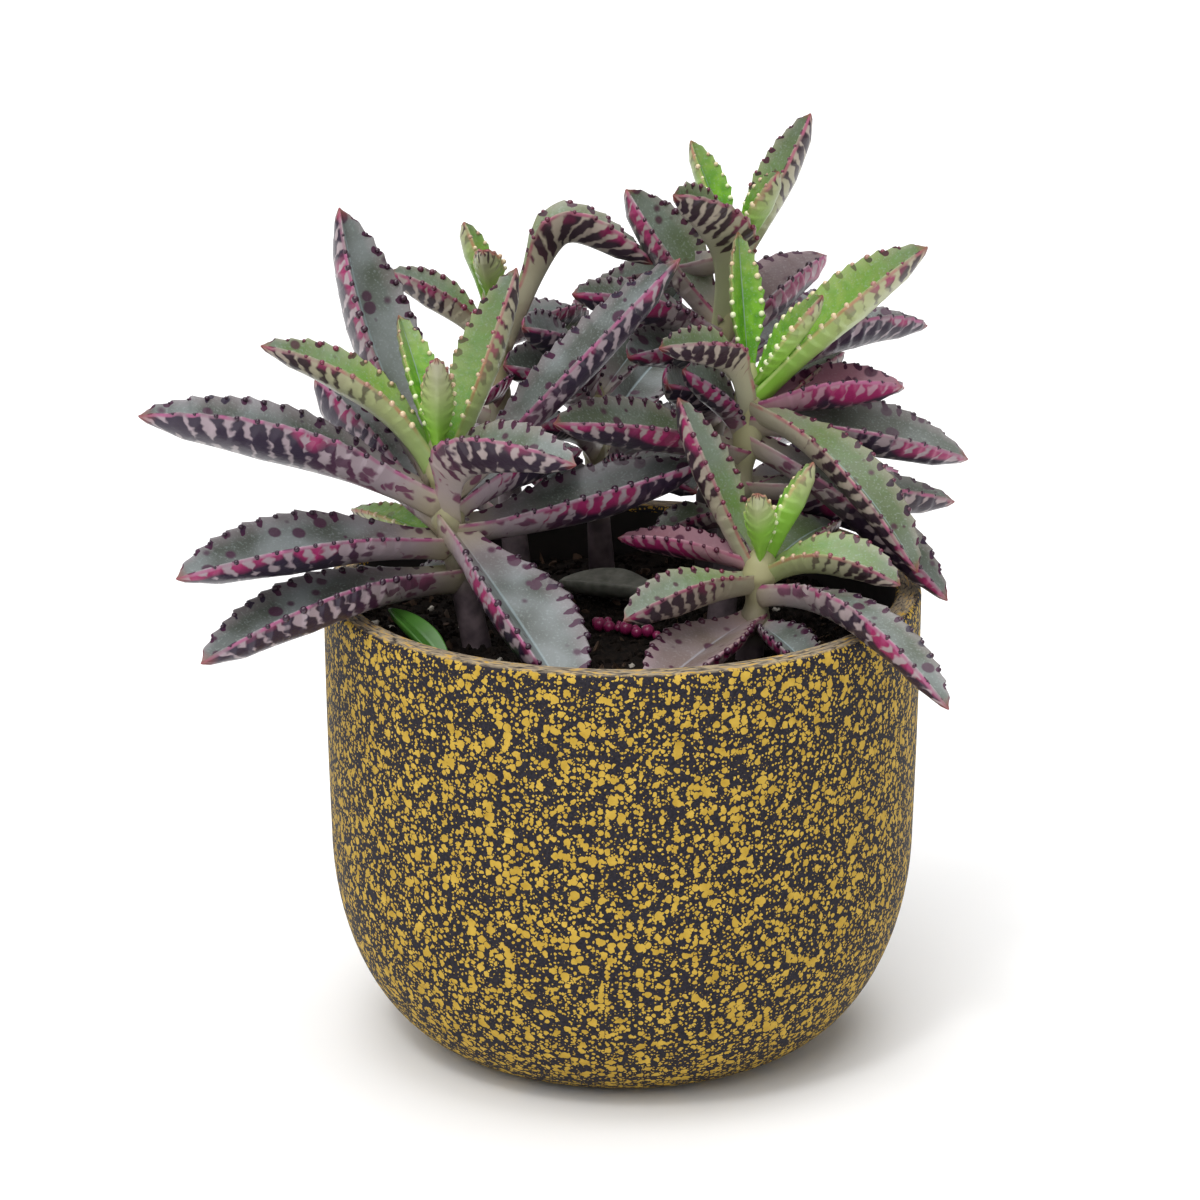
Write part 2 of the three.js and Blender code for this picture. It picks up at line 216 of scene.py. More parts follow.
# Charcoal and mustard both wander between two tones, the body in grains of 0.5 mm and the glaze of 3 mm
tones = {}
for name, grain, detail, dark, light in (("body", 0.5, 2, "#121116", "#3a373e"),
                                         ("mustard", 3, 3, "#957420", "#dbb853")):
    wander = add_node(tree, "ShaderNodeTexNoise", {}, {
        "Vector": place, "Scale": 1 / (grain * MM), "Detail": detail})
    tones[name] = add_node(tree, "ShaderNodeMix", {"data_type": "RGBA"}, {
        "Factor": wander, "A": linear(dark), "B": linear(light)})
spatter = add_node(tree, "ShaderNodeMix", {"data_type": "RGBA"}, {
    "Factor": mustard_mask, "A": tones["body"], "B": tones["mustard"]})
lip = add_node(tree, "ShaderNodeMix", {"data_type": "RGBA"}, {
    "Factor": lip_mask, "A": spatter, "B": (lip_colour, "Color")})
tree.links.new(lip.outputs[2], shader.inputs["Base Color"])
relief = add_node(tree, "ShaderNodeBump", {}, {"Strength": 0.25, "Distance": 0.0002, "Height": mustard_mask})
tree.links.new(relief.outputs["Normal"], shader.inputs["Normal"])

# Painted shade: the inner wall is plain dark grey and matt, without the spatter, for the shade inside the pot
inner_wall_shade = two_tone("inner wall painted shade", 0.85, 4, 3, "#151312", "#2e2a27")

outside, inner_wall = pot_profile()
pot = new_piece("pot_bowl", *spin(outside + inner_wall, POT_TURNS), glaze, inner_wall_shade)
# The inner wall's rings take the painted shade
for polygon in pot.data.polygons:
    polygon.material_index = int(polygon.index // POT_TURNS >= len(outside) - 1)
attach(pot, "root")
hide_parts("pot")


# Soil
# Dark potting mix of peat, bark and a little perlite, filled to 11 mm below the rim. It is one body
# with a crumbly top; the loose crumbs, bark and perlite lie on it.
SOIL_HEIGHT = 84
SOIL_GAP = 0.6
SOIL_CENTRE_RADIUS = 0.05
SOIL_BASE = FLOOR_THICKNESS + 0.3
SOIL_RINGS = 60
SOIL_TURNS = 130


def soil_top(x, y):
    """The height of the soil's crumbly top at a place in the pot."""
    heap = 0.8 * math.sin(x / 8 + 1) * math.cos(y / 9)
    crumb = 0.5 * math.sin(x / 3.7) * math.sin(y / 4.1 + 0.7)
    rough = 0.7 * noise.noise(Vector((x / 1.9, y / 1.9, 3.0))) + 0.4 * noise.noise(Vector((x, y, 7.0)))
    return SOIL_HEIGHT + heap + crumb + rough


def soil_points():
    """Rings from the middle of the underside out, up the pot's wall and in to the middle of the top."""
    wall_radius = SHOULDER_RADIUS - WALL - SOIL_GAP
    rings = [(AXIS_RADIUS, SOIL_BASE)]
    rings += [(radius - SOIL_GAP, height) for radius, height in
              foot_curve(INNER_FOOT_RADIUS, wall_radius + SOIL_GAP, SOIL_BASE, 8)]
    rings.append((wall_radius, SOIL_HEIGHT - 2))
    rings += [(radius, None) for radius in np.linspace(wall_radius, SOIL_CENTRE_RADIUS, SOIL_RINGS)]
    points = []
    for radius, height in rings:
        for turn in np.linspace(0, 2 * math.pi, SOIL_TURNS, endpoint=False):
            x = radius * math.cos(turn)
            y = radius * math.sin(turn)
            points.append((x, y, soil_top(x, y) if height is None else height))
    return points, grid_faces(len(rings), SOIL_TURNS)


def new_tree(name, inputs):
    """A Geometry Nodes tree with the geometry in and out, and named inputs for its sizes."""
    made = bpy.data.node_groups.new(name, "GeometryNodeTree")
    made.interface.new_socket("Geometry", in_out="INPUT", socket_type="NodeSocketGeometry")
    for label, kind in inputs.items():
        made.interface.new_socket(label, in_out="INPUT", socket_type=kind)
    made.interface.new_socket("Geometry", in_out="OUTPUT", socket_type="NodeSocketGeometry")
    return made, add_node(made, "NodeGroupInput")


def end_tree(made, sizes, shape, smooth):
    """Ends a tree: its shapes become a real mesh, smooth or not, with the material that it is given."""
    whole = add_node(made, "GeometryNodeRealizeInstances", {}, {"Geometry": shape})
    if smooth:
        whole = add_node(made, "GeometryNodeSetShadeSmooth", {}, {"Geometry": whole})
    painted = add_node(made, "GeometryNodeSetMaterial", {}, {
        "Geometry": whole, "Material": (sizes, "Material")})
    add_node(made, "NodeGroupOutput", {}, {"Geometry": painted})


def grow(made, source, name, settings):
    """Runs a tree on an object and returns what it makes as a plain mesh piece."""
    modifier = source.modifiers.new(made.name, "NODES")
    modifier.node_group = made
    for item in made.interface.items_tree:
        if item.in_out == "INPUT" and item.name in settings:
            modifier[item.identifier] = settings[item.name]
    ready = source.evaluated_get(bpy.context.evaluated_depsgraph_get())
    piece = bpy.data.objects.new(name, bpy.data.meshes.new_from_object(ready))
    source.modifiers.remove(modifier)
    bpy.context.collection.objects.link(piece)
    return piece


# Damp peat: nearly black, matt, with brown fibres that catch the light
FIBRE_GRAIN = 1.5
peat, tree, shader, place = new_material("damp peat", 0.95, Specular_IOR_Level=0.15)
fibre = add_node(tree, "ShaderNodeTexNoise", {}, {
    "Vector": place, "Scale": 1 / (FIBRE_GRAIN * MM), "Detail": 5, "Roughness": 0.7})
peat_colour = add_node(tree, "ShaderNodeValToRGB", {}, {"Fac": fibre})
set_stops(peat_colour, [(0.35, "#080706"), (0.75, "#2c231d")])
tree.links.new(peat_colour.outputs["Color"], shader.inputs["Base Color"])
relief = add_node(tree, "ShaderNodeBump", {}, {"Strength": 0.8, "Distance": 0.0006, "Height": fibre})
tree.links.new(relief.outputs["Normal"], shader.inputs["Normal"])

soil = new_piece("potting_soil", *soil_points(), peat)
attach(soil, "root")
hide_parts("soil")

FULL_TURN = 6.28
scatter, sizes = new_tree("loose pieces on the soil", {
    "Per Square Metre": "NodeSocketFloat", "Smallest": "NodeSocketVector", "Largest": "NodeSocketVector",
    "Seed": "NodeSocketInt", "Material": "NodeSocketMaterial"})
facing = add_node(scatter, "GeometryNodeInputNormal")
upward = add_node(scatter, "ShaderNodeSeparateXYZ", {}, {"Vector": facing})
on_top = add_node(scatter, "ShaderNodeMath", {"operation": "GREATER_THAN"}, {0: (upward, "Z"), 1: 0.4})
spread = add_node(scatter, "GeometryNodeDistributePointsOnFaces", {}, {
    "Mesh": (sizes, "Geometry"), "Selection": on_top, "Density": (sizes, "Per Square Metre"),
    "Seed": (sizes, "Seed")})
lump = add_node(scatter, "GeometryNodeMeshIcoSphere", {}, {"Radius": 0.5, "Subdivisions": 2})
dent = add_node(scatter, "ShaderNodeTexNoise", {}, {"Scale": 1.6, "Detail": 2})
dent_offset = add_node(scatter, "ShaderNodeVectorMath", {"operation": "SUBTRACT"}, {
    0: (dent, "Color"), 1: (0.5, 0.5, 0.5)})
crumb = add_node(scatter, "GeometryNodeSetPosition", {}, {"Geometry": lump, "Offset": dent_offset})
turned = add_node(scatter, "FunctionNodeRandomValue", {"data_type": "FLOAT_VECTOR"}, {
    "Max": [FULL_TURN] * 3, "Seed": 5})
stretched = add_node(scatter, "FunctionNodeRandomValue", {"data_type": "FLOAT_VECTOR"}, {
    "Min": (sizes, "Smallest"), "Max": (sizes, "Largest"), "Seed": (sizes, "Seed")})
placed = add_node(scatter, "GeometryNodeInstanceOnPoints", {}, {
    "Points": spread, "Instance": crumb, "Rotation": turned, "Scale": stretched})
end_tree(scatter, sizes, placed, False)

# Bark and grit: dry brown flakes, lighter than the peat
bark = two_tone("bark and grit", 0.9, 3, 3, "#17110d", "#5f4733")

# Perlite: puffed volcanic glass, white and rough
perlite = two_tone("perlite", 0.8, 0.8, 2, "#8f877a", "#d9d4c8")

# For each kind: its material, how many lie on a square metre, the least and largest size in mm, a seed
LOOSE_PIECES = {
    "peat_crumbs": (peat, 170000, (0.9, 0.9, 0.7), (2.6, 2.4, 1.8), 3),
    "bark_flakes": (bark, 26000, (1.0, 0.7, 0.4), (4.2, 2.4, 1.2), 11),
    "perlite_grains": (perlite, 4200, (1.0, 1.0, 0.9), (2.4, 2.2, 2.0), 23),
}
for name, (material, density, smallest, largest, seed) in LOOSE_PIECES.items():
    loose = grow(scatter, soil, name, {
        "Per Square Metre": density, "Smallest": [size * MM for size in smallest],
        "Largest": [size * MM for size in largest], "Seed": seed, "Material": material})
    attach(loose, "root")


# Shoots
# Six leafy stems. A leaf is a thick boat, folded up along its rib, with a rounded keel below. Its
# margin is toothed, and a plantlet bead sits in each notch. Leaves and stem are one living piece.

# Each leaf row gives the height of its root on the stem, the tip's x, y and z, the width, the arch, the
# turn about its length, the fold, the age from 0, fresh green, to 1, grey, how pink it is, and for a
# leaf with a knee the bend point, how hard it pulls and the stalk's share. Millimetres and degrees.
# A shoot's bloom is how much pale grey its old upper faces have, from 0 to 1: partly wax bloom, partly
# painted sheen.
SHOOTS = {
    "shoot_left": {"bloom": 0.65, "axis": [
        (-27, -8, 70), (-29, -9, 84), (-32, -11, 100), (-35, -13, 114), (-36.5, -14, 127),
    ], "leaves": [
        (115.5, -93, -30, 137.75, 19.5, 2.5, -2, 34, 1, 0.15),
        (107, -86, -38, 107.5, 21, 2, -3, 27, 1, 0.4),
        (100, -81, -46, 93, 19.5, 3, 5, 27, 1, 0.2),
        (111, -9.5, -51.5, 86, 24, 1, -18, 28, 1, 0.4),
        (121, -56, 12, 169, 21, -6, 22, 32, 0.92, 0.4),
        (122, -70, -20, 149, 12.5, 4.5, -11, 32, 0.4, 0.1),
        (125, -44, -4, 151, 8, 1, 0, 35, 0, 0),
        (124, -36, -22, 147, 7, 1, 0, 30, 0.15, 0),
        (122, -21, -6, 161, 13, -1, 3, 36, 0.35, 0.1),
        (112, -9, -34, 129, 15, 0, 5, 42, 0.82, 0.3, ((-35, -22, 131), 0.82, 0.16)),
        (110, 16, -4, 121, 18, -2, 3, 28, 1, 0.35),
        (112, -61, 4, 136, 17, -2, 24, 30, 1, 0.3),
        (117, 11, -6, 163, 15, -1, 7, 30, 1, 0.2),
        (113, -8, 2, 122, 14, 2, -4, 30, 1, 0.6),
        (98, -47, 6, 89, 12, 3, -4, 28, 1, 0.3),
        (104, -55, 12, 106.5, 8, 2, -4, 30, 0.2, 0),
    ]},
    "shoot_right": {"bloom": 0.28, "axis": [
        (20, 6, 70), (20, 7, 84), (22, 8, 105), (25, 8, 122), (25.5, 8, 136),
    ], "leaves": [
        (131, 60, 4, 163, 16, 1, 18, 30, 0.25, 0),
        (134, 23, 12, 164, 8, 0, 0, 30, 0, 0),
        (133, 39, -4, 155, 8, 0, 45, 34, 0.05, 0),
        (126, 7, -14, 147, 11, 0, -16, 42, 0.6, 0.1, ((25, 2, 143), 0.86, 0.3)),
        (130, 58, -20, 103, 14.5, 5, -7, 28, 0.65, 0.1),
        (127, 70, 12, 117.3, 19.5, 1, 8, 26, 0.95, 0.35),
        (129, 56, 8, 133.5, 14.5, 1, 3, 32, 1, 1),
        (132, 62, 24, 142, 14, 5, -2, 32, 1, 0.15),
        (113, 67.6, 14, 107.8, 16, 0, 0, 28, 0.8, 0.15),
        (123, 65, -8, 93.5, 15.5, 2.8, -1, 28, 0.9, 0.1),
        (124, 12, 0, 139, 11, 1, -28, 32, 1, 0.3),
        (119.5, -13.5, -19, 133.2, 16, 1, -14, 32, 0.85, 0.74),
        (122, 45, 22, 137, 12, 1, -8, 30, 0.6, 0.2),
        (112, 58, 44, 104, 15, 3, 4, 28, 1, 0.3),
        (112, 53, 16, 101, 14, 2, 4, 28, 1, 0.2),
        (107, 6, 3, 103, 11, 1, 0, 30, 0.85, 0.3),
    ]},
    "shoot_back": {"bloom": 0.4, "axis": [
        (18, 30, 70), (18, 31, 84), (18, 31, 110), (20, 29, 135), (22.5, 27, 158),
    ], "leaves": [
        (154, 37.8, 32, 184, 11.8, -1, 5, 30, 0.5, 0.1),
        (157, 14, 34, 178, 8, 0, 0, 35, 0, 0),
        (156, 31, 18, 175, 8, 0, 45, 35, 0.1, 0),
        (139, 10, 6, 173, 14, 0, -28, 48, 0.52, 0.05, ((23, 24, 162), 0.86, 0.22)),
        (142, 1, 34, 168, 18, -1, -8, 28, 0.8, 0.3),
        (139, -10, 6, 153, 13, 1, -12, 34, 0.95, 0.5),
        (134, 42, 40, 153, 20.5, 2, -4, 24, 0.95, 0.85),
        (130, 52, 66, 138, 14, 2, 4, 28, 1, 0.3),
        (124, 24, 84, 132, 16, 3, 0, 35, 1, 0.4),
        (116, 60, 58, 120, 16, 4, 0, 35, 1, 0.3),
        (106, 40, 76, 106, 15, 4, 0, 35, 1, 0.5),
        (156, -10.5, 52, 139.6, 12, 0, -20, 38, 0.9, 0.3),
        (130, 1, 10, 139, 14, 3, -9, 30, 1, 0.6),
        (153, 23, 44, 160, 7, 0, 0, 35, 0.1, 0),
        (120, 9, 4, 135, 14, 1, -30, 32, 1, 0.4),
    ]},
    "shoot_back_left": {"bloom": 0.5, "axis": [
        (-20, 24, 70), (-21, 25, 84), (-23, 27, 105), (-25, 28, 125), (-26.5, 28, 148),
    ], "leaves": [
        (146, -32, 30, 162, 7, 0, 0, 35, 0.1, 0),
        (145, -28, 18, 159, 7, 1, 0, 35, 0.15, 0),
        (138, -47, 24, 153.2, 11, 1, -11, 34, 0.6, 0.2),
        (136, 6.5, 30, 153.4, 12, 0, 0, 44, 0.6, 0.25, ((-13.4, 33, 163.2), 1.1, 0.3)),
        (126, -29, 10, 130, 11, 2, 0, 35, 1, 1),
        (122, -62, 50, 124, 14, 1, 6, 28, 1, 0.3),
        (116, -44, 80, 112, 16, 3, 0, 35, 1, 0.4),
        (110, -62, 36, 108, 15, 3, -4, 28, 1, 0.4),
        (100, -46, 66, 92, 15, 5, 0, 35, 1, 0.3),
        (138, -7, 48, 138.2, 12, 1, 0, 38, 0.95, 0.6),
        (112, -8, 4, 108, 14, 3, 0, 35, 1, 0.5),
    ]},
    "shoot_front": {"bloom": 0.5, "axis": [
        (24, -17, 70), (25, -17, 84), (26.5, -17, 96), (27.3, -17.5, 106),
    ], "leaves": [
        (102, 11, -12.5, 136.5, 12, -1, -8, 34, 0.6, 0.2),
        (105, 37, -18, 125, 7, 0, 0, 35, 0, 0),
        (105, 26, -26, 121, 7, 0, 0, 35, 0, 0),
        (102, 54, -28, 103, 12.5, 4, 8, 34, 0.45, 0.2),
        (101, 0, -38, 99, 13, 1, 1, 38, 0.62, 0.25),
        (98.2, 61.8, -56, 87, 13, 7, -17, 26, 0.9, 0.05),
        (93, 5, -50, 88, 17, 1, 1, 22, 0.8, 0.85),
        (92, 37, -37, 88, 10, 1, 0, 30, 0.95, 0.2),
        (101, 43, 8, 105, 13, 2, 0, 28, 0.65, 0.1),
        (103, 16, -4, 116, 9, 2, 0, 35, 1, 0.3),
        (104, -1, -8, 106.6, 9, 1, -1, 32, 0.75, 1.0),
    ]},
    "shoot_rear": {"bloom": 0.5, "axis": [
        (-4, 38, 70), (-4, 38, 84), (-5, 38, 100), (-6, 37, 126),
    ], "leaves": [
        (124, -20, 18, 143.2, 14, 3, -25, 32, 1, 0.5),
        (120, -24, 21, 134.5, 15, 2, -25, 32, 1, 0.6),
        (120, -9, 74, 132, 13, 0, 0, 38, 0.6, 0.2),
        (111.5, 12, 86, 122, 16, 3, 30, 35, 1, 0.3),
        (122, 13, 48, 145, 11, 0, 30, 35, 0.95, 0.3),
        (122, -10, 29, 139, 8, 0, 0, 35, 0.95, 0.3),
        (107, 22, 84, 100, 16, 4, 30, 35, 1, 0.4),
        (112, -17, 0, 127, 14, 3, 0, 35, 1, 0.5),
        (106, 15, 6, 112, 14, 3, 0, 35, 1, 0.5),
    ]},
}


# A leaf's outline: where its toothed blade starts and ends along it, how its width grows and falls, the
# column of its row that holds a knee, where it bends without one, and its teeth's pitch and height in mm
BLADE_START = 0.14
BLADE_END = 0.97
SHORT_STALK = 0.06
STALK_STATIONS = [0, 0.04, 0.08, 0.11]
TIP_STATIONS = [0.978, 0.986, 0.992, 0.996, 0.999]
STATIONS_PER_TOOTH = 8
LEAST_HALF_WIDTH = 0.5
ROOT_WIDTH_SHARE = 0.36
GROWS_OVER = 0.46
GROWS_OVER_PAST_KNEE = 0.28
TAPERS_FROM = 0.52
TOOTH_CREST = 0.74
NOTCH = 0.93
KNEE = 10
BEND_AT = 0.45
PLAIN_PULL = 2 / 3
MIDRIB_STEPS = 400
PITCH_BASE = 1.5
PITCH_PER_LENGTH = 0.036
LEAST_PITCH = 2.2
MOST_PITCH = 3.7
TOOTH_BASE = 0.3
TOOTH_PER_LENGTH = 0.008

# A leaf's section, from its rib groove over its margin to its keel. Each margin row has the place round
# the leaf, the share of the half width, and the share of the margin's thickness.
MARGIN_THICKNESS = 1.1
RIB_GROOVE = 0.22
RIB_GROOVE_WIDTH = 0.05
UPPER_SHARES = [0, 0.035, 0.09, 0.2, 0.36, 0.54, 0.72, 0.88, 0.96]
MARGIN_ROWS = [(0.99, 1, 0.12), (1.02, 1.015, 0.5), (1.05, 0.99, 0.95)]
LOWER_SHARES = [0.1, 0.22, 0.36, 0.52, 0.7, 0.86, 1]
KEEL_ROUNDNESS = 0.55
KEEL_DEPTHS = [(0, 3.6), (0.1, 3.3), (0.3, 3.3), (0.6, 3.9), (0.85, 3.1), (1, 0.9)]

# How far apart the leaves lie in the pattern, so that no two are marked alike, then where the beads sit
# between the teeth and along the leaf, where the teeth begin to fade, and the beads' radius in mm
LEAF_SPACING = 83.0
BEAD_PHASE = 0.92
BEADS_PAST_STALK = 0.16
BEADS_END = 0.95
TEETH_FULL_TO = 0.93
BEAD_BASE = 0.44
BEAD_PER_WIDTH = 0.012


def smooth_step(value, low, high):
    share = np.clip((value - low) / (high - low), 0, 1)
    return share * share * (3 - 2 * share)


def unit(vectors):
    return vectors / np.linalg.norm(vectors, axis=-1, keepdims=True)


def point_on_axis(axis, height):
    """The point of a stem's axis at a height."""
    heights = [point[2] for point in axis]
    return np.array([np.interp(height, heights, [point[i] for point in axis]) for i in range(3)])


def midrib(root, leaf, stations):
    """The middle line at each station, the way across the leaf and out of its face, and its length."""
    tip = np.array(leaf[1:4], float)
    arch = leaf[5]
    turn = math.radians(leaf[6])
    along = tip - root
    side = unit(np.array([along[1], -along[0], 0.0]))
    lift = unit(np.cross(side, along))
    bend = root + BEND_AT * along + 2 * arch * lift
    pull = PLAIN_PULL
    if len(leaf) > KNEE:
        bend = np.array(leaf[KNEE][0])
        pull = leaf[KNEE][1]
    first = root + pull * (bend - root)
    second = tip + pull * (bend - tip)
    t = np.linspace(0, 1, MIDRIB_STEPS)[:, None]
    line = (1 - t) ** 3 * root + 3 * (1 - t) ** 2 * t * first + 3 * (1 - t) * t ** 2 * second + t ** 3 * tip
    steps = np.linalg.norm(np.diff(line, axis=0), axis=1)
    reach = np.concatenate([[0], np.cumsum(steps)])
    places = [np.interp(stations * reach[-1], reach, line[:, i]) for i in range(3)]
    slopes = [np.interp(stations * reach[-1], reach, np.gradient(line[:, i], reach)) for i in range(3)]
    heading = unit(np.stack(slopes, axis=1))
    across = side * math.cos(turn) + np.cross(heading, side) * math.sin(turn)
    across += heading * (heading @ side)[:, None] * (1 - math.cos(turn))
    return np.stack(places, axis=1), across, unit(np.cross(across, heading)), reach[-1]


def half_width(width, stations, stalk):
    """The plain half width: it grows from the stalk and tapers to the tip."""
    grows_over = GROWS_OVER_PAST_KNEE if stalk > SHORT_STALK else GROWS_OVER
    grown = smooth_step(stations, stalk, stalk + grows_over)
    fall = np.clip((stations - TAPERS_FROM) / (1 - TAPERS_FROM), 0, 1)
    return width / 2 * (ROOT_WIDTH_SHARE + (1 - ROOT_WIDTH_SHARE) * grown) * (1 - fall ** 2.1) ** 0.85


def tooth_height(phase, length):
    """A tooth leans forward: it rises slowly towards the tip of the leaf and drops into the notch."""
    rise = np.clip(phase / TOOTH_CREST, 0, 1) ** 1.5
    drop = 1 - smooth_step(phase, TOOTH_CREST, NOTCH)
    return rise * drop * (TOOTH_BASE + TOOTH_PER_LENGTH * length)


def count_teeth(length):
    """Long leaves have more teeth, and coarser ones."""
    pitch = np.clip(PITCH_BASE + PITCH_PER_LENGTH * length, LEAST_PITCH, MOST_PITCH)
    return max(5, round(length * (BLADE_END - BLADE_START) / pitch))


def half_section(half, fold, keel, closing):
    """Each place round one side of the leaf, from rib to keel, with how far out and up its points are."""
    edge = np.minimum(MARGIN_THICKNESS, 0.6 * keel)
    out, rise = half * math.cos(fold) * closing, half * math.sin(fold)
    section = []
    for share in UPPER_SHARES:
        groove = RIB_GROOVE * math.exp(-(share / RIB_GROOVE_WIDTH) ** 2)
        section.append((share, out * share, rise * share ** 1.25 - groove))
    for place_round, wide, deep in MARGIN_ROWS:
        section.append((place_round, out * wide, rise - deep * edge))
    low = rise - edge
    for share in LOWER_SHARES:
        bow = share * math.pi / 2
        wide = (1 - KEEL_ROUNDNESS) * (1 - share) + KEEL_ROUNDNESS * math.cos(bow)
        deep = (1 - KEEL_ROUNDNESS) * share + KEEL_ROUNDNESS * math.sin(bow)
        section.append((1 + share, out * wide, low - (low + keel) * deep))
    return section


def make_leaf(root, leaf, seed, toothed=True):
    """One leaf's points, ring by ring from the root, with what its material reads, and its bead places."""
    width, fold, age, pink = leaf[4], math.radians(leaf[7]), leaf[8], leaf[9]
    stalk = leaf[KNEE][2] if len(leaf) > KNEE else SHORT_STALK
    draw = np.random.default_rng(seed)
    length = midrib(root, leaf, np.array([0.0, 1.0]))[3]
    teeth = count_teeth(length)
    blade = np.linspace(BLADE_START, BLADE_END, teeth * STATIONS_PER_TOOTH + 1)
    stations = np.concatenate([STALK_STATIONS, blade, TIP_STATIONS])
    middle, across, face, length = midrib(root, leaf, stations)
    plain = half_width(width, stations, stalk)
    keel = np.interp(stations, *zip(*KEEL_DEPTHS)) * min(1.15, 0.4 + width / 24)
    closing = np.sqrt(np.clip((1 - stations) / (1 - BLADE_END), 0, 1))
    count = (stations - BLADE_START) / (BLADE_END - BLADE_START) * teeth
    toothed_share = smooth_step(stations, stalk + 0.08, stalk + 0.26)
    toothed_share *= smooth_step(stations, 1, TEETH_FULL_TO)
    sides = []
    for hand in (1, -1):
        shift = draw.uniform(-0.2, 0.2)
        uneven = 1 + 0.25 * np.sin(2.4 * np.floor(count + shift) + seed + hand)
        tooth = tooth_height((count + shift) % 1, length) * uneven * toothed_share if toothed else 0
        half = np.maximum(LEAST_HALF_WIDTH, plain + tooth)
        girth = np.zeros_like(stations)
        side = []
        before = None
        for place_round, x, z in half_section(half, fold, keel, closing):
            if place_round > MARGIN_ROWS[-1][0]:
                girth = girth + np.hypot(x - before[0], z - before[1])
            before = (x, z)
            up = z * closing - (1 - closing) * 0.3 * keel
            slip = shift * math.sin(place_round * math.pi / 2)
            side.append((np.full_like(stations, place_round), hand * x, up, count + slip, girth))
        sides.append(side)
    ring = sides[0] + sides[1][-2:0:-1]
    around, x, z, tooth_count, girth = (np.stack(values, axis=1) for values in zip(*ring))
    points = middle[:, None] + across[:, None] * x[..., None] + face[:, None] * z[..., None]
    ages = np.clip(age + (1 - age) * (stations - 0.5), 0, 1)
    every = np.ones_like(around)
    readings = {
        "leaf_around": around, "leaf_teeth": tooth_count - BEAD_PHASE + 0.5, "leaf_girth": girth,
        "leaf_run": (stations * length + LEAF_SPACING * (seed % 100))[:, None] * every,
        "leaf_along": stations[:, None] * every, "leaf_age": ages[:, None] * every, "leaf_pink": pink * every}
    beads = []
    plump = draw.uniform(0.8, 1.1)
    for side in sides:
        _, margin_x, margin_z, margin_count, _ = side[len(UPPER_SHARES)]
        shift = margin_count[0] - count[0]
        for number in range(1, teeth):
            at = BLADE_START + (number + BEAD_PHASE - 1 - shift) / teeth * (BLADE_END - BLADE_START)
            if at < stalk + BEADS_PAST_STALK or at > BEADS_END:
                continue
            size = plump * (BEAD_BASE + BEAD_PER_WIDTH * width)
            size *= draw.uniform(0.7, 1.2) * min(1, 4 * (1.02 - at))
            rib, way_out, way_up = (np.array([np.interp(at, stations, values[:, i]) for i in range(3)])
                                    for values in (points[:, 0], across, face))
            out, up = (np.interp(at, stations, values) for values in (margin_x, margin_z))
            spot = rib + way_up * RIB_GROOVE + way_out * (out - 0.5 * size) + way_up * (up - 0.3 * size)
            beads.append((spot, size, float(np.interp(at, stations, ages))))
    return points, readings, beads


def join_leaves(grown):
    """All the leaves of a shoot as one list of points and faces, with each reading in the same order."""
    points, faces, start = [], [], 0
    for rings, _, _ in grown:
        rows, columns = rings.shape[:2]
        faces += [tuple(start + i for i in face) for face in grid_faces(rows, columns)]
        faces.append(tuple(start + i for i in range(columns))[::-1])
        faces.append(tuple(start + (rows - 1) * columns + i for i in range(columns)))
        points.append(rings.reshape(-1, 3))
        start += rows * columns
    readings = {name: np.concatenate([one[1][name].ravel() for one in grown]) for name in grown[0][1]}
    return np.concatenate(points), faces, readings


def store_readings(mesh, readings):
    """Puts numbers on a mesh's points, for its material or its tree to read."""
    for name, values in readings.items():
        layer = mesh.attributes.new(name, "FLOAT", "POINT")
        layer.data.foreach_set("value", np.asarray(values, dtype=np.float32))


# Leaf skin: waxy succulent skin over wet tissue, satin, with a bluish grey on the old upper faces that is
# partly wax bloom and partly painted sheen.
# Dark purple marks gather at the beads, merge on the flank, and break into magenta blotches at the root.
leaf_skin, tree, shader, place = new_material("waxy leaf skin", 0.38, Specular_IOR_Level=0.24,
                                              Coat_Weight=0.25, Coat_Roughness=0.2)
part = {}
for name in ("around", "teeth", "along", "age", "pink", "girth", "run", "bloom"):
    part[name] = (add_node(tree, "ShaderNodeAttribute", {"attribute_name": "leaf_" + name}), "Fac")
for name, grain in (("edge", 1.9), ("patch", 3.6), ("broad", 11), ("fine", 0.5)):
    part[name] = add_node(tree, "ShaderNodeTexNoise", {}, {
        "Vector": place, "Scale": 1 / (grain * MM), "Detail": 1})

# The flank in its own millimetres, so that its blotches are longer along the leaf than across it
FLANK_CLOUD = (5.5, 3)
BLOTCH = (5.4, 3.6)
BLOTCH_STIR = (2.6, 1.8)
STREWN_SPACING = 4.2
flank = add_node(tree, "ShaderNodeCombineXYZ", {}, {"X": part["run"], "Y": part["girth"]})
cloud_place = add_node(tree, "ShaderNodeVectorMath", {"operation": "MULTIPLY"}, {
    0: flank, 1: (1 / FLANK_CLOUD[0], 1 / FLANK_CLOUD[1], 0)})
part["flank_cloud"] = add_node(tree, "ShaderNodeTexNoise", {"noise_dimensions": "2D"}, {
    "Vector": cloud_place, "Scale": 1.0, "Detail": 1})
flank_stirred = add_node(tree, "ShaderNodeVectorMath", {"operation": "MULTIPLY_ADD"}, {
    0: (part["edge"], "Color"), 1: (*BLOTCH_STIR, 0), 2: flank})
blotch_place = add_node(tree, "ShaderNodeVectorMath", {"operation": "MULTIPLY"}, {
    0: flank_stirred, 1: (1 / BLOTCH[0], 1 / BLOTCH[1], 0)})
part["blotch_cell"] = add_node(tree, "ShaderNodeTexVoronoi", {"voronoi_dimensions": "2D"}, {
    "Vector": blotch_place, "Scale": 1.0})
part["strewn_cell"] = add_node(tree, "ShaderNodeTexVoronoi", {}, {
    "Vector": place, "Scale": 1 / (STREWN_SPACING * MM)})
